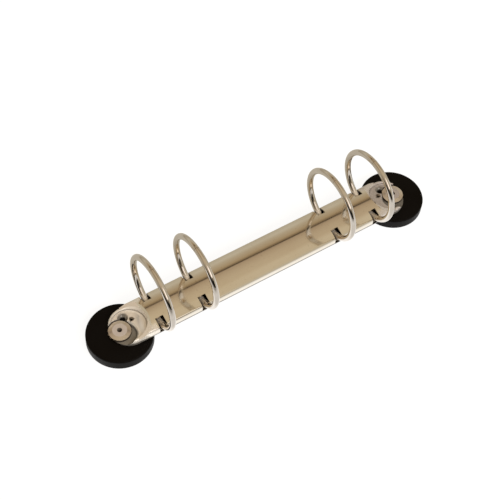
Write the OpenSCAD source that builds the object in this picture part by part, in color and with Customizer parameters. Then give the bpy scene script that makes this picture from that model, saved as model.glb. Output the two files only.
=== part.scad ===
// Ring binder mechanism: four split rings on two hinge blades under a sprung cover,
// standing on two round feet. Millimetres, Z up, origin on the ground under the middle.

/* [Rings] */
// Clear diameter inside a closed ring
ring_bore = 30; // [29.8:0.1:30.2]
// Diameter of the ring wire
wire_d = 2.8; // [2.6:0.1:3]
// Spacing of the two rings in a pair
pair_gap = 21; // [20:0.5:22]
// Spacing of the two inner rings
middle_gap = 70; // [60:2:90]
// Height of the ring centre above the feet
ring_rise = 18.4; // [18.2:0.1:18.5]

/* [Cover] */
// Width of the arched cover
cover_w = 18.6; // [18.4:0.1:19.2]
// Thickness of the cover sheet
cover_t = 0.7; // [0.6:0.05:0.8]
// Height of the cover from its lower edge to the crown
crown_h = 6.5; // [6.3:0.1:6.9]
// Radius of the arch of the crown
crown_r = 21; // [20:0.5:24]
// Width of each ring slot along the cover
slot_w = 3.8; // [3.6:0.1:4]

/* [Blades] */
// Thickness of each hinge blade
blade_t = 1; // [0.9:0.05:1.1]
// Angle each blade hangs down from flat when the rings are shut
shut_angle = 4.5; // [4:0.25:5]

/* [Feet] */
// Diameter of each round foot
foot_d = 29.4; // [28:0.2:32]
// Thickness of each round foot
foot_t = 5.5; // [4.5:0.25:7]
// Distance from the outer rings to the posts
post_gap = 16.4; // [16:0.2:17.2]
// Diameter of the post stem
stem_d = 5; // [4.6:0.2:5.2]
// Diameter of the post head across its widest rim
head_d = 9.8; // [9.4:0.2:10.2]
// Height of the post head
head_h = 1.1; // [1:0.05:1.3]

/* [Hidden] */
$fn = 64;
wire_r = wire_d / 2;
ring_r = ring_bore / 2 + wire_r;
ring_z = foot_t + ring_rise;
ring_x = [-middle_gap / 2 - pair_gap, -middle_gap / 2, middle_gap / 2, middle_gap / 2 + pair_gap];
post_x = ring_x[3] + post_gap;
// cover section: crown arc running into two shoulder arcs
half_w = cover_w / 2;
shoulder_r = 1.5;
shoulder_y = half_w - shoulder_r;
edge_r = 1;
shoulder_z = crown_h - crown_r + sqrt(pow(crown_r - shoulder_r, 2) - pow(shoulder_y, 2));
// sunk end plate and the rounded end that carries it
end_x = post_x - 4.7;
end_r = half_w - 0.3;
end_round = 0.8;
taper = 5;
plate_x = end_x + 0.4;
plate_r = end_r - 1.1;
plate_h = 2.3;
plate_flare = 0.5;
rim_h = 3.3;
lip_w = 1.3;
lip_t = cover_t;
slot_in = 4.8;
slot_low = 1.05;
// blades: a bead on the outer edge turns in the rolled edge of the cover
run_gap = 0.03;
bead_r = blade_t / 2 + 0.07;
pivot_y = half_w - cover_t - run_gap - bead_r;
pivot_z = foot_t + lip_t + run_gap + bead_r;
blade_end = ring_x[3] + 2.9;
meet_gap = 0.15;
// ring foot: lies on the blade and is staked through it
foot_up = blade_t / 2 + wire_r;
toe_in = 3.4;
toe_cut = 0.6;
pin_in = 2.7;
pin_r = 0.9;
stake_r = 1.15;
stake_t = 0.3;
tip_gap = 0.05;
// where the foot line meets the ring circle
sa = sin(shut_angle);
ca = cos(shut_angle);
foot_y = pivot_y - foot_up * sa;
foot_z = pivot_z + foot_up * ca - ring_z;
foot_b = foot_y * ca + foot_z * sa;
knee = -foot_b + sqrt(foot_b * foot_b - foot_y * foot_y - foot_z * foot_z + ring_r * ring_r);
knee_angle = atan2(foot_z + knee * sa, foot_y + knee * ca);
// post stack
well_r = 6.6;
well_d = 1.8;
washer_t = 0.5;
washer_r = 6;
flange_t = 0.8;
flange_r = 4.2;
fit_gap = 0.1;
lock_t = 0.3;
lock_r = head_d / 2 + 0.2;
// sunk seat of the head: a close round, and a wider cone set over to the near side
seat_r = head_d / 2 + 0.4;
cone_r = head_d / 2 + 1.3;
cone_in = 0.8;
cone_y = 2.4;
seat_d = plate_h - cover_t;
// round pressed pit beside the head, and a three sided punch mark
pit_in = 3.9;
pit_y = 4.6;
pit_r = 2.4;
pit_d = 1.7;
pit_hole = 1.3;
bowl_r = (pit_r * pit_r + pit_d * pit_d) / (2 * pit_d);
mark_in = 6.9;
mark_y = 2.1;
lock_z = foot_t + plate_h - seat_d;
head_z = lock_z + lock_t;
head_roof = 0.4;
bevel_w = 1.7;
bevel_h = 0.5;
screw_r = 1.1;
stem_top = head_z + head_h - head_roof;

// arch of the cover, drawn across (x) and up (y) from the lower edge
module arch(inset) {
    chord = shoulder_y * (crown_r - inset) / (crown_r - shoulder_r);
    intersection() {
        translate([0, crown_h - crown_r]) circle(r = crown_r - inset, $fn = 180);
        translate([-chord, 0]) square([2 * chord, crown_h + 1]);
    }
    for (side = [-1, 1])
        translate([side * shoulder_y, shoulder_z]) circle(r = shoulder_r - inset);
    for (side = [-1, 1])
        translate([side * (half_w - edge_r), edge_r]) circle(r = edge_r - inset);
    translate([-half_w + inset, edge_r]) square([2 * (half_w - inset), shoulder_z - edge_r]);
    translate([edge_r - half_w, inset]) square([cover_w - 2 * edge_r, edge_r]);
}

// runs a drawn section along the mechanism, centred
module along(length) {
    translate([-length / 2, 0, 0]) rotate([90, 0, 90]) linear_extrude(length) children();
}

// closed shape of the cover, inset for its inside
module cover_form(inset) {
    difference() {
        union() {
            along(2 * end_x) arch(inset);
            for (side = [-1, 1]) translate([side * end_x, 0, 0]) rotate_extrude() {
                square([end_r - inset, rim_h - end_round]);
                square([end_r - end_round, rim_h - inset]);
                translate([end_r - end_round, rim_h - end_round]) circle(r = end_round - inset);
            }
        }
        for (side = [0, 1]) mirror([side, 0, 0]) {
            // shoulders run down to the rim of the rounded end
            translate([0, 20, 0]) rotate([90, 0, 0]) linear_extrude(40)
                polygon([[end_x - 9, crown_h + 2 - inset], [end_x - 9, crown_h + 0.4 - inset],
                         [end_x - 7, crown_h - 1.2 - inset], [end_x - 0.5, rim_h - inset],
                         [end_x + 12, rim_h - inset], [end_x + 12, crown_h + 2 - inset]]);
            // sides draw in towards the rounded end
            for (face = [0, 1]) mirror([0, face, 0]) translate([0, 0, -1]) linear_extrude(20)
                polygon([[end_x - taper, half_w + 2], [end_x - taper, half_w - inset],
                         [end_x, end_r - inset], [end_x + 0.2, half_w + 2]]);
            // sunk end plate with a steep round wall
            translate([plate_x, 0, plate_h - inset])
                cylinder(r1 = plate_r + inset, r2 = plate_r + inset + plate_flare, h = crown_h);
        }
    }
}

module ring_slot(x) {
    for (side = [0, 1]) mirror([0, side, 0])
        translate([x - slot_w / 2, slot_in, slot_low]) cube([slot_w, 20, 20]);
}

// what is pressed into one end plate round the post, drawn from the post at the plate's level
module plate_marks() {
    cylinder(d = stem_d + 0.5, h = 8, center = true);
    // seat of the head, open through the rim at the tip
    translate([0, 0, -seat_d]) cylinder(r = seat_r, h = crown_h);
    translate([-cone_in, -cone_y, -seat_d]) {
        cylinder(r1 = cone_r - 1.2, r2 = cone_r, h = seat_d);
        translate([0, 0, seat_d - 0.01]) cylinder(r = cone_r - 0.01, h = crown_h);
    }
    translate([-pit_in, pit_y, bowl_r - pit_d]) sphere(r = bowl_r);
    translate([-pit_in, pit_y, 0]) cylinder(r = pit_hole, h = 8, center = true);
    translate([-mark_in, mark_y, -0.9]) rotate([0, 0, 80]) cylinder(r1 = 0.7, r2 = 1.7, h = 1, $fn = 3);
}

module cover() color([0.80, 0.74, 0.66]) translate([0, 0, foot_t]) difference() {
    cover_form(0);
    difference() {
        union() {
            cover_form(cover_t);
            along(2 * end_x) translate([-half_w + lip_w, -1]) square([cover_w - 2 * lip_w, 4]);
            for (side = [-1, 1]) translate([side * end_x, 0, -1])
                cylinder(r = end_r - cover_t, h = 2);
        }
        // rolled lower edges that carry the blades
        for (side = [-1, 1]) translate([-blade_end - 1, side < 0 ? -half_w : half_w - lip_w, -2])
            cube([2 * blade_end + 2, lip_w, 2 + lip_t]);
        // floor of the sunk plate stays one sheet thick
        for (side = [-1, 1]) translate([side * plate_x, 0, plate_h - cover_t])
            cylinder(r = plate_r + cover_t, h = 9);
        // metal drawn down for the seat of the head and for the pit
        for (side = [0, 1]) mirror([side, 0, 0]) {
            translate([post_x, 0, -2]) cylinder(r = seat_r + cover_t, h = plate_h + 1.8);
            translate([post_x - cone_in, -cone_y, -2]) cylinder(r = cone_r, h = plate_h + 1.7);
            translate([post_x - pit_in, pit_y, -2]) cylinder(r = pit_r + 0.3, h = plate_h + 1.6);
        }
    }
    for (x = ring_x) ring_slot(x);
    for (side = [0, 1]) mirror([side, 0, 0]) translate([post_x, 0, plate_h]) plate_marks();
}

// draws in the plane of one blade: x along, y inward from the pivot, z square to it
module blade_frame(side) {
    mirror([0, side < 0 ? 0 : 1, 0])
        translate([0, -pivot_y, pivot_z]) rotate([-shut_angle, 0, 0]) children();
}

module blade(side) color([0.62, 0.60, 0.56]) blade_frame(side) difference() {
    union() {
        rotate([0, 90, 0]) cylinder(r = bead_r, h = 2 * blade_end, center = true);
        translate([-blade_end, 0, -blade_t / 2])
            cube([2 * blade_end, (pivot_y - meet_gap) / ca, blade_t]);
    }
    for (x = ring_x) translate([x, pin_in, 0]) cylinder(r = pin_r, h = 4, center = true);
}

// one half ring with its foot and staked pin; side -1 near, 1 far
module half_ring(side, x) color([0.86, 0.83, 0.78]) translate([x, 0, 0]) {
    difference() {
        union() {
            mirror([0, side < 0 ? 1 : 0, 0]) translate([0, 0, ring_z]) rotate([90, 0, 90])
                rotate([0, 0, knee_angle]) rotate_extrude(angle = 90 - knee_angle - tip_gap / ring_r * 57.3)
                    translate([ring_r, 0]) circle(r = wire_r);
            if (side > 0) translate([0, 0.5, ring_z + ring_r]) rotate([90, 0, 0]) {
                cylinder(r = 0.8, h = 0.6);
                translate([0, 0, 0.55]) cylinder(r1 = 0.8, r2 = 0.45, h = 0.5);
            }
        }
        if (side < 0) translate([0, -0.8, ring_z + ring_r]) rotate([-90, 0, 0])
            cylinder(r1 = 0.55, r2 = 0.95, h = 0.9);
    }
    blade_frame(side) {
        translate([0, -knee, foot_up]) sphere(r = wire_r + 0.03);
        translate([0, -knee, foot_up]) rotate([-90, 0, 0]) cylinder(r = wire_r, h = knee + toe_in);
        translate([0, toe_in - 0.3, foot_up]) rotate([-90, 0, 0])
            cylinder(r1 = wire_r - 0.02, r2 = wire_r - 0.6, h = toe_cut + 0.3);
        translate([0, pin_in, -blade_t / 2 - 0.1]) cylinder(r = pin_r, h = foot_up + blade_t / 2);
        translate([0, pin_in, -blade_t / 2 - stake_t]) cylinder(r1 = stake_r - 0.25, r2 = stake_r, h = stake_t);
    }
}

module round_foot(side) color([0.05, 0.045, 0.04]) translate([side * post_x, 0, 0]) difference() {
    rotate_extrude($fn = 128) {
        translate([0, 0.6]) square([foot_d / 2, foot_t - 1.4]);
        square([foot_d / 2 - 0.6, foot_t]);
        translate([foot_d / 2 - 0.6, 0.6]) circle(r = 0.6);
        translate([foot_d / 2 - 0.8, foot_t - 0.8]) circle(r = 0.8);
    }
    translate([0, 0, -1]) cylinder(r = well_r, h = well_d + 1);
    cylinder(d = stem_d + 2 * fit_gap, h = foot_t + 1);
}

module washer(side) color([0.55, 0.55, 0.53]) translate([side * post_x, 0, well_d - washer_t])
    difference() {
        cylinder(r = washer_r, h = washer_t);
        translate([0, 0, -1]) cylinder(d = stem_d + 2 * fit_gap, h = 3);
    }

// toothed washer that keeps the head from working loose
module lock_washer(side) color([0.7, 0.69, 0.66]) translate([side * post_x, 0, lock_z])
    difference() {
        cylinder(r = lock_r, h = lock_t);
        translate([0, 0, -1]) cylinder(d = stem_d + 2 * fit_gap, h = 3);
        for (i = [0 : 15]) rotate([0, 0, i * 22.5]) translate([lock_r + 0.1, 0, -1])
            cylinder(r = 0.5, h = 3);
    }

// hollow post: a screw can pass right down through it
module post(side) color([0.78, 0.77, 0.74])
    translate([side * post_x, 0, well_d - washer_t - flange_t]) difference() {
        union() {
            cylinder(r1 = flange_r - 0.3, r2 = flange_r, h = flange_t);
            cylinder(d = stem_d, h = stem_top - well_d + washer_t + flange_t);
        }
        translate([0, 0, -1]) cylinder(r = screw_r, h = 20);
    }

// round head: grooved collar under a bevelled cap, bored for the screw
module head(side) color([0.82, 0.81, 0.79]) translate([side * post_x, 0, head_z]) difference() {
    union() {
        difference() {
            cylinder(d = head_d - 0.6, h = head_h - bevel_h);
            for (i = [0 : 17]) rotate([0, 0, i * 20]) translate([head_d / 2 - 0.2, 0, -1])
                cylinder(r = 0.45, h = head_h + 1);
        }
        translate([0, 0, head_h - bevel_h - 0.2]) cylinder(d = head_d, h = 0.2);
        translate([0, 0, head_h - bevel_h]) cylinder(r1 = head_d / 2, r2 = head_d / 2 - bevel_w, h = bevel_h);
    }
    translate([0, 0, -1]) cylinder(d = stem_d + 0.04, h = head_h - head_roof + 1);
    cylinder(r = screw_r, h = head_h + 1);
}

cover();
blade(-1);  // near_blade
blade(1);  // far_blade
half_ring(-1, ring_x[0]);  // near_half_1
half_ring(-1, ring_x[1]);  // near_half_2
half_ring(-1, ring_x[2]);  // near_half_3
half_ring(-1, ring_x[3]);  // near_half_4
half_ring(1, ring_x[0]);  // far_half_1
half_ring(1, ring_x[1]);  // far_half_2
half_ring(1, ring_x[2]);  // far_half_3
half_ring(1, ring_x[3]);  // far_half_4
round_foot(-1);  // left_foot
round_foot(1);  // right_foot
washer(-1);  // left_washer
washer(1);  // right_washer
lock_washer(-1);  // left_lock_washer
lock_washer(1);  // right_lock_washer
post(-1);  // left_post
post(1);  // right_post
head(-1);  // left_head
head(1);  // right_head
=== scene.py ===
import math

import bpy
from mathutils import Matrix, Vector


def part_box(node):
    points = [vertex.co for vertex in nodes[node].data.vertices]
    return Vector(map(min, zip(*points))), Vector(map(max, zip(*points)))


# Ring binder mechanism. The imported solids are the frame; this script gives them their finish,
# the studio and the camera. Lengths are metres, with mm() for small sizes.

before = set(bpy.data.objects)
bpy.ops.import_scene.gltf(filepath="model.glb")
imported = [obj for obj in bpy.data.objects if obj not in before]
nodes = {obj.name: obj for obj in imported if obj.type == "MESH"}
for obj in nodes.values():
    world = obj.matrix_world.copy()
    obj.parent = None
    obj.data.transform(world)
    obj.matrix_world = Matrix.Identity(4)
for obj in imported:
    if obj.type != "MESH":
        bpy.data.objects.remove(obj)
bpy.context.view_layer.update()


white = (1.0, 1.0, 1.0)


def mm(value):
    return value / 1000.0


def newGroup(name, inputs, outputs):
    group = bpy.data.node_groups.new(name, "ShaderNodeTree")
    for label, kind, value in inputs:
        sock = group.interface.new_socket(name=label, in_out="INPUT", socket_type="NodeSocket" + kind)
        if value is not None:
            sock.default_value = value
    for label, kind in outputs:
        group.interface.new_socket(name=label, in_out="OUTPUT", socket_type="NodeSocket" + kind)
    tree = group.nodes
    return group, tree, group.links, tree.new("NodeGroupInput"), tree.new("NodeGroupOutput")


def plug(links, value, sock):
    # a number is set on the socket, anything else is linked to it
    if isinstance(value, (int, float)):
        sock.default_value = value
    elif isinstance(value, tuple):
        sock.default_value = (*value, 1.0)
    else:
        links.new(value, sock)


def mathNode(tree, links, operation, first, second=None, clamp=False):
    node = tree.new("ShaderNodeMath")
    node.operation = operation
    node.use_clamp = clamp
    plug(links, first, node.inputs[0])
    if second is not None:
        plug(links, second, node.inputs[1])
    return node.outputs[0]


def remap(tree, links, value, low, high, toLow, toHigh):
    node = tree.new("ShaderNodeMapRange")
    node.clamp = True
    for label, item in (("Value", value), ("From Min", low), ("From Max", high),
                        ("To Min", toLow), ("To Max", toHigh)):
        plug(links, item, node.inputs[label])
    return node.outputs["Result"]


def noise(tree, links, vector, scale, detail=3.0, rough=0.5):
    node = tree.new("ShaderNodeTexNoise")
    node.inputs["Scale"].default_value = scale
    node.inputs["Detail"].default_value = detail
    node.inputs["Roughness"].default_value = rough
    links.new(vector, node.inputs["Vector"])
    return node.outputs["Fac"]


def stretched(tree, links, vector, scale):
    node = tree.new("ShaderNodeMapping")
    node.inputs["Scale"].default_value = scale
    links.new(vector, node.inputs["Vector"])
    return node.outputs["Vector"]


def blendColour(tree, links, factor, first, second):
    node = tree.new("ShaderNodeMix")
    node.data_type = "RGBA"
    plug(links, factor, node.inputs["Factor"])
    plug(links, first, node.inputs[6])  # the colour sockets A and B share their names with other kinds
    plug(links, second, node.inputs[7])
    return node.outputs[2]


def splitVector(tree, links, vector):
    split = tree.new("ShaderNodeSeparateXYZ")
    links.new(vector, split.inputs[0])
    return split.outputs


rollLook = {"along": (60, 4200, 4200), "lineDetail": 4.0, "lineRough": 0.6, "middle": 0.5,
            "skew": (90, 1500, 900), "scratchDetail": 1.0, "scratchFrom": 0.70, "scratchTo": 0.73}


def rollMarksGroup():
    # fine rolling lines along the sheet, with a few longer scratches
    group, tree, links, given, made = newGroup(
        "rollMarks", [("Vector", "Vector", None), ("Lines", "Float", 1.0)],
        [("Lines", "Float"), ("Scratches", "Float")])
    along = stretched(tree, links, given.outputs["Vector"], rollLook["along"])
    lines = noise(tree, links, along, 1.0, rollLook["lineDetail"], rollLook["lineRough"])
    centred = mathNode(tree, links, "SUBTRACT", lines, rollLook["middle"])
    scaled = mathNode(tree, links, "MULTIPLY", centred, given.outputs["Lines"])
    links.new(mathNode(tree, links, "ADD", scaled, rollLook["middle"]), made.inputs["Lines"])
    skew = stretched(tree, links, given.outputs["Vector"], rollLook["skew"])
    wide = noise(tree, links, skew, 1.0, rollLook["scratchDetail"])
    scratches = remap(tree, links, wide, rollLook["scratchFrom"], rollLook["scratchTo"], 0.0, 1.0)
    links.new(scratches, made.inputs["Scratches"])
    return group


handlingLook = {"filmDetail": 4.0, "filmRough": 0.55, "filmFrom": 0.35, "filmTo": 0.68,
                "speckScale": 14.0, "speckDetail": 2.0, "speckFrom": 0.66, "speckTo": 0.74}


def handlingGroup():
    # cloudy film and small smudges left by handling
    group, tree, links, given, made = newGroup(
        "handling", [("Vector", "Vector", None), ("Scale", "Float", 90.0)],
        [("Film", "Float"), ("Specks", "Float")])
    spread = tree.new("ShaderNodeVectorMath")
    spread.operation = "SCALE"
    links.new(given.outputs["Vector"], spread.inputs[0])
    links.new(given.outputs["Scale"], spread.inputs["Scale"])
    film = noise(tree, links, spread.outputs[0], 1.0, handlingLook["filmDetail"], handlingLook["filmRough"])
    links.new(remap(tree, links, film, handlingLook["filmFrom"], handlingLook["filmTo"], 0.0, 1.0),
              made.inputs["Film"])
    specks = noise(tree, links, spread.outputs[0], handlingLook["speckScale"], handlingLook["speckDetail"])
    links.new(remap(tree, links, specks, handlingLook["speckFrom"], handlingLook["speckTo"], 0.0, 1.0),
              made.inputs["Specks"])
    return group


zoneLook = {"outwardBlend": mm(0.6), "lowBlend": mm(0.5), "rightBlend": mm(1.0)}


def pressedZoneGroup():
    # low parts further out than From; Right tells the right half from the left
    group, tree, links, given, made = newGroup(
        "pressedZone", [("Vector", "Vector", None), ("From", "Float", 0.0), ("Below", "Float", 0.0)],
        [("Pressed", "Float"), ("Right", "Float")])
    where = splitVector(tree, links, given.outputs["Vector"])
    start, top = given.outputs["From"], given.outputs["Below"]
    inner = mathNode(tree, links, "SUBTRACT", start, zoneLook["outwardBlend"])
    upper = mathNode(tree, links, "ADD", top, zoneLook["lowBlend"])
    outward = remap(tree, links, mathNode(tree, links, "ABSOLUTE", where["X"]), inner, start, 0.0, 1.0)
    low = remap(tree, links, where["Z"], top, upper, 1.0, 0.0)
    links.new(mathNode(tree, links, "MULTIPLY", outward, low), made.inputs["Pressed"])
    right = remap(tree, links, where["X"], -zoneLook["rightBlend"], zoneLook["rightBlend"], 0.0, 1.0)
    links.new(right, made.inputs["Right"])
    return group


def cornerShadeGroup():
    # painted shade: corners are darkened where little of the sky within Reach is seen
    group, tree, links, given, made = newGroup(
        "cornerShade", [("Reach", "Float", mm(1.3)), ("From", "Float", 0.4), ("To", "Float", 0.8)],
        [("ShadeMask", "Float")])
    corner = tree.new("ShaderNodeAmbientOcclusion")
    links.new(given.outputs["Reach"], corner.inputs["Distance"])
    paintedShade = remap(tree, links, corner.outputs["AO"], given.outputs["From"], given.outputs["To"], 1.0, 0.0)
    links.new(paintedShade, made.inputs["ShadeMask"])
    return group


rollMarks = rollMarksGroup()
handling = handlingGroup()
pressedZone = pressedZoneGroup()
cornerShade = cornerShadeGroup()
print("shared effects built")


def startMaterial(name):
    mat = bpy.data.materials.new(name)
    mat.use_nodes = True
    tree, links = mat.node_tree.nodes, mat.node_tree.links
    shader = tree["Principled BSDF"]
    place = tree.new("ShaderNodeTexCoord").outputs["Object"]
    return mat, tree, links, shader, place


def useGroup(tree, links, group, place, **values):
    node = tree.new("ShaderNodeGroup")
    node.node_tree = group
    if "Vector" in node.inputs:
        links.new(place, node.inputs["Vector"])
    for label, value in values.items():
        node.inputs[label].default_value = value
    return node.outputs


def addBump(tree, links, shader, height, strength, distance):
    bump = tree.new("ShaderNodeBump")
    bump.inputs["Strength"].default_value = strength
    bump.inputs["Distance"].default_value = distance
    links.new(height, bump.inputs["Height"])
    links.new(bump.outputs["Normal"], shader.inputs["Normal"])


def addSatin(tree, links, shader, place, look, tinted, rough):
    # pressed parts are duller than the rest, and their walls more so than their flats; on the cover the left
    # end is coloured paler and the right end darker, painted light and shade
    zone = useGroup(tree, links, pressedZone, place, From=look["satinFrom"], Below=look["satinBelow"])
    endsLitAndShaded = blendColour(tree, links, zone["Right"], look["satinColour"], look["satinShadedRight"])
    tinted = blendColour(tree, links, zone["Pressed"], tinted, endsLitAndShaded)
    rough = remap(tree, links, zone["Pressed"], 0.0, 1.0, rough, look["satin"])
    facing = splitVector(tree, links, tree.new("ShaderNodeNewGeometry").outputs["Normal"])
    flat = remap(tree, links, facing["Z"], look["wallTo"], look["flatFrom"],
                 look["wallMetallic"], look["satinMetallic"])
    metallic = remap(tree, links, zone["Pressed"], 0.0, 1.0, look["metallic"], flat)
    links.new(metallic, shader.inputs["Metallic"])
    return tinted, rough


def darkenPit(tree, links, place, look, tinted, pit):
    # each pit is coloured darker towards its middle, the same at both ends; in the bowl this is painted shade
    x, y, radius = pit
    where = splitVector(tree, links, place)
    level = tree.new("ShaderNodeCombineXYZ")
    links.new(mathNode(tree, links, "ABSOLUTE", where["X"]), level.inputs["X"])
    links.new(where["Y"], level.inputs["Y"])
    away = tree.new("ShaderNodeVectorMath")
    away.operation = "DISTANCE"
    links.new(level.outputs[0], away.inputs[0])
    away.inputs[1].default_value = (x, y, 0.0)
    inPit = remap(tree, links, away.outputs["Value"], radius * look["pitCore"], radius, look["pitDarkening"], 0.0)
    return blendColour(tree, links, inPit, tinted, look["pitDarkColour"])


def platedMetal(name, look):
    mat, tree, links, shader, place = startMaterial(name)
    marks = useGroup(tree, links, rollMarks, place, Lines=look["lines"])
    soil = useGroup(tree, links, handling, place, Scale=look["cloudScale"])
    shader.inputs["Metallic"].default_value = look["metallic"]
    tinted = blendColour(tree, links, soil["Film"], look["colour"], look["filmColour"])
    rough = remap(tree, links, soil["Film"], 0.0, 1.0, *look["roughness"])
    if "satin" in look:
        tinted, rough = addSatin(tree, links, shader, place, look, tinted, rough)
    for pit in look.get("pits", ()):
        tinted = darkenPit(tree, links, place, look, tinted, pit)
    if "lowShadeColour" in look:  # painted shade: the lower edge and the floor of the head's seat are darkened
        height = splitVector(tree, links, place)["Z"]
        lowShade = remap(tree, links, height, look["rimTo"] - look["rimBlend"], look["rimTo"], 1.0, 0.0)
        tinted = blendColour(tree, links, lowShade, tinted, look["lowShadeColour"])
    if "bevelShadeColour" in look:  # painted shade: the bevel is coloured browner and darker than the flat top
        incline = splitVector(tree, links, tree.new("ShaderNodeNewGeometry").outputs["True Normal"])
        bevelShade = remap(tree, links, incline["Z"], look["bevelTo"], look["bevelFrom"], 1.0, 0.0)
        tinted = blendColour(tree, links, bevelShade, tinted, look["bevelShadeColour"])
    # painted shade in the corners, from the ambient occlusion, mixed into the colour
    corners = useGroup(tree, links, cornerShade, place, Reach=look["shadeReach"])
    paintedShade = mathNode(tree, links, "MULTIPLY", corners["ShadeMask"], look["paintedShade"])
    tinted = blendColour(tree, links, paintedShade, tinted, look["paintedShadeColour"])
    spots = mathNode(tree, links, "MULTIPLY", soil["Specks"], look["specks"])
    plug(links, blendColour(tree, links, spots, tinted, look["speckColour"]), shader.inputs["Base Color"])
    worn = mathNode(tree, links, "MULTIPLY", marks["Scratches"], look["scratchRough"])
    links.new(mathNode(tree, links, "ADD", rough, worn, clamp=True), shader.inputs["Roughness"])
    addBump(tree, links, shader, marks["Lines"], look["bump"], look["bumpDepth"])
    return mat


def mouldedRubber(name, look):
    mat, tree, links, shader, place = startMaterial(name)
    soil = useGroup(tree, links, handling, place, Scale=look["cloudScale"])
    plug(links, blendColour(tree, links, soil["Film"], look["colour"], look["dustColour"]),
         shader.inputs["Base Color"])
    shader.inputs["Specular IOR Level"].default_value = look["specular"]
    links.new(remap(tree, links, soil["Film"], 0.0, 1.0, *look["roughness"]), shader.inputs["Roughness"])
    grain = noise(tree, links, place, look["grain"], look["grainDetail"], look["grainRough"])
    addBump(tree, links, shader, grain, look["bump"], look["bumpDepth"])
    return mat


def finishNodes(mat, *marks):
    # every node whose name holds one of the marks takes the material
    for name, node in nodes.items():
        if any(mark in name for mark in marks):
            node.data.materials.clear()
            node.data.materials.append(mat)


# what every plated piece starts from; each one's own values come after and win
platedLook = {"metallic": 1.0, "lines": 1.0, "bumpDepth": mm(0.01), "paintedShade": 0.9, "shadeReach": mm(1.3),
              "paintedShadeColour": (0.07, 0.045, 0.03), "wallTo": 0.3, "flatFrom": 0.7}

coverFloor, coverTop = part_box("cover")[0][2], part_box("cover")[1][2]
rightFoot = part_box("right_foot")
postX = (rightFoot[0][0] + rightFoot[1][0]) / 2
bowl = (postX - mm(3.9), mm(4.6), mm(2.6))  # x, y and radius
darkSpot = (postX - mm(6.9), mm(2.1), mm(1.3))
coverLook = {**platedLook, "colour": (0.87, 0.81, 0.71), "filmColour": (0.84, 0.77, 0.66),
             "speckColour": (0.45, 0.37, 0.28), "specks": 0.25, "cloudScale": 70.0,
             "roughness": (0.06, 0.11), "scratchRough": 0.05, "bump": 0.08,
             "satin": 0.11, "satinMetallic": 0.55, "wallMetallic": 0.25, "satinColour": (1.00, 0.95, 0.88),
             # painted light and shade: the pressed left end is paler than the sheet, the right end darker
             "satinShadedRight": (0.70, 0.645, 0.61), "satinFrom": rightFoot[0][0] + mm(1.0),
             "satinBelow": coverFloor + mm(5.2),
             # the pits are coloured darker towards their middles, painted shade in the bowl
             "pits": (bowl, darkSpot), "pitDarkColour": (0.20, 0.145, 0.085), "pitDarkening": 0.85, "pitCore": 0.75,
             # painted shade: below rimTo the cover is darkened
             "rimTo": coverFloor + mm(1.65), "rimBlend": mm(0.15), "lowShadeColour": (0.27, 0.255, 0.23)}
finishNodes(platedMetal("coverMetal", coverLook), "cover")

ringLook = {**platedLook, "colour": (0.81, 0.755, 0.69), "filmColour": (0.75, 0.69, 0.61),
            "speckColour": (0.40, 0.34, 0.27), "specks": 0.2, "cloudScale": 160.0,
            "roughness": (0.05, 0.09), "scratchRough": 0.05, "lines": 0.6, "bump": 0.05,
            "satin": 0.32, "satinMetallic": 0.5, "wallMetallic": 0.5, "satinColour": (0.80, 0.72, 0.62),
            "satinShadedRight": (0.80, 0.72, 0.62), "satinFrom": 0.0, "satinBelow": coverTop - mm(1.2)}
finishNodes(platedMetal("ringMetal", ringLook), "half")

bladeLook = {**platedLook, "colour": (0.26, 0.23, 0.19), "filmColour": (0.18, 0.15, 0.12),
             "speckColour": (0.08, 0.06, 0.05), "specks": 0.6, "cloudScale": 120.0,
             "roughness": (0.28, 0.42), "scratchRough": 0.15, "lines": 1.2, "bump": 0.25}
finishNodes(platedMetal("bladeMetal", bladeLook), "blade")

postLook = {**platedLook, "colour": (0.88, 0.835, 0.85), "filmColour": (0.82, 0.775, 0.78),
            # painted shade: the head's bevel is a darker, browner copy of its top colour
            "bevelShadeColour": (0.66, 0.58, 0.49), "bevelFrom": 0.99, "bevelTo": 0.97,
            "speckColour": (0.30, 0.26, 0.20), "specks": 0.4, "cloudScale": 300.0,
            "roughness": (0.14, 0.22), "scratchRough": 0.1, "bump": 0.15, "metallic": 0.72}
finishNodes(platedMetal("postMetal", postLook), "post", "head")

washerLook = {**platedLook, "colour": (0.60, 0.58, 0.54), "filmColour": (0.50, 0.47, 0.42),
              "speckColour": (0.25, 0.20, 0.16), "specks": 0.5, "cloudScale": 250.0,
              "roughness": (0.25, 0.40), "scratchRough": 0.1, "bump": 0.2}
finishNodes(platedMetal("washerMetal", washerLook), "washer")

footLook = {"colour": (0.0022, 0.0012, 0.0009), "dustColour": (0.004, 0.003, 0.0025), "specular": 0.10,
            "cloudScale": 60.0, "roughness": (0.42, 0.60), "grain": 3500.0, "grainDetail": 4.0,
            "grainRough": 0.6, "bump": 0.25, "bumpDepth": mm(0.05)}
finishNodes(mouldedRubber("footRubber", footLook), "foot")
print("finishes set")

# the floor glows white for the eye; for metal it is white beside the near wall and dimmer elsewhere, painted
# shade in its reflections, with a warm tint behind
floorLook = {"size": 0.9, "colour": (0.9, 0.9, 0.9), "roughness": 0.9, "specular": 0.0,
             "litShare": 0.22, "glow": 1.15, "metalGlow": 1.05, "underFoot": mm(12.0), "footBlur": mm(2.0),
             "nearAzimuth": -150.0, "nearFrom": mm(90.0), "nearTo": mm(190.0), "nearGlow": 0.25,
             "besideFrom": mm(-28.0), "besideTo": mm(-14.0), "awayGlow": 0.62,
             "farFrom": mm(-2.0), "farTo": mm(10.0), "farGlow": 0.42, "farReflectionTint": (1.0, 0.94, 0.80)}


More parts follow.
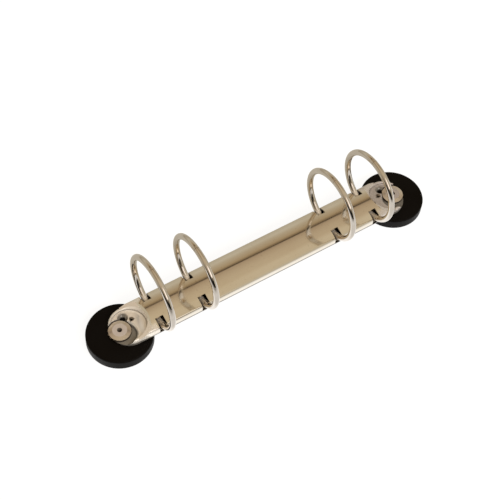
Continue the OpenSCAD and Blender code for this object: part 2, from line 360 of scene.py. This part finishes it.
def outsideFeet(tree, links, where):
    # painted shadow: no glow comes from the floor right under a foot
    offX = mathNode(tree, links, "SUBTRACT", mathNode(tree, links, "ABSOLUTE", where["X"]), postX)
    squares = mathNode(tree, links, "ADD", mathNode(tree, links, "POWER", offX, 2.0),
                       mathNode(tree, links, "POWER", where["Y"], 2.0))
    away, edge = mathNode(tree, links, "SQRT", squares), floorLook["underFoot"]
    return remap(tree, links, away, edge - floorLook["footBlur"], edge, 0.0, 1.0)


def metalFloor(tree, links, where, far):
    # painted shade in the metal's reflections: the floor is less bright for the metal far out on the near
    # side, away from the wall and behind
    near = math.radians(floorLook["nearAzimuth"])
    reach = mathNode(tree, links, "ADD", mathNode(tree, links, "MULTIPLY", where["X"], math.sin(near)),
                     mathNode(tree, links, "MULTIPLY", where["Y"], math.cos(near)))
    reflectedFloorShade = remap(tree, links, reach, floorLook["nearFrom"], floorLook["nearTo"], 1.0, floorLook["nearGlow"])
    beside = remap(tree, links, where["Y"], floorLook["besideFrom"], floorLook["besideTo"],
                   floorLook["awayGlow"], 1.0)
    behind = remap(tree, links, far, 0.0, 1.0, 1.0, floorLook["farGlow"])
    return mathNode(tree, links, "MULTIPLY", mathNode(tree, links, "MULTIPLY", reflectedFloorShade, beside), behind)


def buildFloor():
    half = floorLook["size"] / 2
    corners = [(-half, -half, 0), (half, -half, 0), (half, half, 0), (-half, half, 0)]
    mesh = bpy.data.meshes.new("floor")
    mesh.from_pydata(corners, [], [(0, 1, 2, 3)])
    floor = bpy.data.objects.new("floor", mesh)
    bpy.context.collection.objects.link(floor)
    mat, tree, links, shader, place = startMaterial("floorWhite")
    plug(links, floorLook["colour"], shader.inputs["Base Color"])
    plug(links, floorLook["roughness"], shader.inputs["Roughness"])
    plug(links, floorLook["specular"], shader.inputs["Specular IOR Level"])
    where = splitVector(tree, links, place)
    outside = outsideFeet(tree, links, where)
    far = remap(tree, links, where["Y"], floorLook["farFrom"], floorLook["farTo"], 0.0, 1.0)
    reflectedFloorShade = metalFloor(tree, links, where, far)
    rays = tree.new("ShaderNodeLightPath").outputs
    shine = mathNode(tree, links, "MAXIMUM", rays["Is Glossy Ray"], rays["Is Transmission Ray"])
    seen = mathNode(tree, links, "MAXIMUM", rays["Is Camera Ray"], shine)
    forMetal = remap(tree, links, shine, 0.0, 1.0, 1.0,
                     mathNode(tree, links, "MULTIPLY", reflectedFloorShade, floorLook["metalGlow"]))
    glow = tree.new("ShaderNodeEmission")
    strength = mathNode(tree, links, "MULTIPLY", mathNode(tree, links, "MULTIPLY", outside, forMetal),
                        floorLook["glow"])
    links.new(strength, glow.inputs["Strength"])
    inFar = mathNode(tree, links, "MULTIPLY", far, shine)
    links.new(blendColour(tree, links, inFar, white, floorLook["farReflectionTint"]), glow.inputs["Color"])
    mix = tree.new("ShaderNodeMixShader")
    links.new(mathNode(tree, links, "MULTIPLY", seen, 1.0 - floorLook["litShare"]), mix.inputs[0])
    links.new(shader.outputs[0], mix.inputs[1])
    links.new(glow.outputs[0], mix.inputs[2])
    links.new(mix.outputs[0], tree["Material Output"].inputs["Surface"])
    mesh.materials.append(mat)


# the studio's tones, shared by the sides of the sky
groundTan, paleCard = (0.45, 0.40, 0.33), (0.55, 0.50, 0.40)
ceilingTan, gapDark = (0.60, 0.50, 0.35), (0.01, 0.01, 0.01)

# sky colours go by the sine of the height above the horizon, from -1 straight down to 1 straight up;
# a panel edge runs from one place to the next with the light's share at each
skyLook = {"strength": 1.0,
           "far": ((-1.0, groundTan), (0.0, (0.40, 0.35, 0.27)), (0.40, paleCard),
                   (0.70, (0.40, 0.30, 0.18)), (0.76, (0.20, 0.14, 0.08)), (0.78, gapDark),
                   (0.80, (0.40, 0.30, 0.20)), (1.0, ceilingTan)),
           "near": ((-1.0, groundTan), (-0.40, (0.30, 0.24, 0.17)), (-0.25, gapDark), (0.25, gapDark),
                    (0.50, (0.35, 0.28, 0.20)), (0.75, (0.50, 0.42, 0.31)), (1.0, ceilingTan)),
           "right": ((-1.0, groundTan), (-0.10, paleCard), (0.50, paleCard), (1.0, ceilingTan)),
           "nearAzimuth": 180.0, "nearStart": 96.0, "nearFull": 72.0, "rightFrom": 0.22, "rightTo": 0.33,
           "panelSides": ((-0.40, -0.15, 0.0, 1.0), (0.28, 0.38, 1.0, 0.0)),
           "panelEnds": ((0.42, 0.50, 0.0, 1.0), (0.82, 0.90, 1.0, 0.0)), "panelColour": (1.60, 1.46, 1.38)}


def skyRamp(tree, links, height, colours):
    ramp = tree.new("ShaderNodeValToRGB")
    stops = ramp.color_ramp.elements
    stops.remove(stops[-1])
    for index, (sine, colour) in enumerate(colours):
        place = (sine + 1.0) / 2.0
        stop = stops[0] if index == 0 else stops.new(place)
        stop.position = place
        stop.color = (*colour, 1.0)
    links.new(height, ramp.inputs["Fac"])
    return ramp.outputs["Color"]


def levelDirection(tree, links, direction):
    # the direction laid flat, so azimuths can be told at any height
    flat = tree.new("ShaderNodeCombineXYZ")
    links.new(direction["X"], flat.inputs["X"])
    links.new(direction["Y"], flat.inputs["Y"])
    level = tree.new("ShaderNodeVectorMath")
    level.operation = "NORMALIZE"
    links.new(flat.outputs[0], level.inputs[0])
    return level.outputs[0]


def nearShare(tree, links, level):
    middle, start, full = (math.radians(skyLook[key]) for key in ("nearAzimuth", "nearStart", "nearFull"))
    along = tree.new("ShaderNodeVectorMath")
    along.operation = "DOT_PRODUCT"
    links.new(level, along.inputs[0])
    along.inputs[1].default_value = (math.sin(middle), math.cos(middle), 0)
    return remap(tree, links, along.outputs["Value"], math.cos(start), math.cos(full), 0.0, 1.0)


def buildSky():
    world = bpy.data.worlds.new("studioSky")
    bpy.context.scene.world = world
    world.use_nodes = True
    tree, links = world.node_tree.nodes, world.node_tree.links
    back = tree["Background"]
    direction = splitVector(tree, links, tree.new("ShaderNodeTexCoord").outputs["Generated"])
    level = levelDirection(tree, links, direction)
    height = remap(tree, links, direction["Z"], -1.0, 1.0, 0.0, 1.0)
    far, near, right = (skyRamp(tree, links, height, skyLook[key]) for key in ("far", "near", "right"))
    sideways = splitVector(tree, links, level)["X"]
    toRight = remap(tree, links, sideways, skyLook["rightFrom"], skyLook["rightTo"], 0.0, 1.0)
    near = blendColour(tree, links, toRight, near, right)
    # a light panel high on the near side
    edges = [remap(tree, links, sideways, *edge) for edge in skyLook["panelSides"]]
    edges += [remap(tree, links, direction["Z"], *edge) for edge in skyLook["panelEnds"]]
    inPanel = edges[0]
    for edge in edges[1:]:
        inPanel = mathNode(tree, links, "MULTIPLY", inPanel, edge)
    near = blendColour(tree, links, inPanel, near, skyLook["panelColour"])
    sky = blendColour(tree, links, nearShare(tree, links, level), far, near)
    seen = tree.new("ShaderNodeLightPath").outputs["Is Camera Ray"]
    links.new(blendColour(tree, links, seen, sky, white), back.inputs["Color"])
    plug(links, skyLook["strength"], back.inputs["Strength"])


def towards(azimuth, elevation):
    # unit vector for a compass angle from +y and a height, in degrees
    az, el = math.radians(azimuth), math.radians(elevation)
    return Vector((math.sin(az) * math.cos(el), math.cos(az) * math.cos(el), math.sin(el)))


frontBox = {"azimuth": 175, "elevation": 42, "distance": 1.2, "width": 1.3, "height": 0.4, "power": 9.0}


def buildSoftbox(name, look):
    lamp = bpy.data.lights.new(name, "AREA")
    lamp.shape = "RECTANGLE"
    lamp.size, lamp.size_y = look["width"], look["height"]
    lamp.energy = look["power"]
    spot = towards(look["azimuth"], look["elevation"]) * look["distance"]
    softbox = bpy.data.objects.new(name, lamp)
    softbox.location = spot
    softbox.visible_glossy = False
    softbox.rotation_euler = (-spot).to_track_quat("-Z", "Y").to_euler()
    bpy.context.collection.objects.link(softbox)


buildFloor()
buildSky()
buildSoftbox("frontBox", frontBox)
print("studio built")

# focal length in pixels for a render 500 pixels wide, angles in degrees, lengths in mm, clips in metres
cameraFit = {"focal": 1153.80, "azimuth": -37.28, "elevation": 55.44, "roll": 5.73, "distance": 520.27,
             "right": 5.22, "up": -8.01, "sensor": 36.0, "pixels": 500, "clipStart": 0.01, "clipEnd": 20.0}


def buildCamera():
    az, el = math.radians(cameraFit["azimuth"]), math.radians(cameraFit["elevation"])
    roll = math.radians(cameraFit["roll"])
    back = Vector((math.sin(az) * math.cos(el), -math.cos(az) * math.cos(el), math.sin(el)))
    right = (-back).cross(Vector((0, 0, 1))).normalized()
    up = right.cross(-back).normalized()
    turnedRight = math.cos(roll) * right + math.sin(roll) * up
    turnedUp = -math.sin(roll) * right + math.cos(roll) * up
    spot = back * cameraFit["distance"] - turnedRight * cameraFit["right"] - turnedUp * cameraFit["up"]
    data = bpy.data.cameras.new("camera")
    data.sensor_width = cameraFit["sensor"]
    data.lens = cameraFit["focal"] / cameraFit["pixels"] * cameraFit["sensor"]
    data.clip_start, data.clip_end = cameraFit["clipStart"], cameraFit["clipEnd"]
    camera = bpy.data.objects.new("camera", data)
    matrix = Matrix((turnedRight, turnedUp, back)).transposed().to_4x4()
    matrix.translation = mm(spot)
    camera.matrix_world = matrix
    bpy.context.collection.objects.link(camera)
    bpy.context.scene.camera = camera


buildCamera()
bpy.context.scene.view_settings.view_transform = "Standard"
print("camera placed")
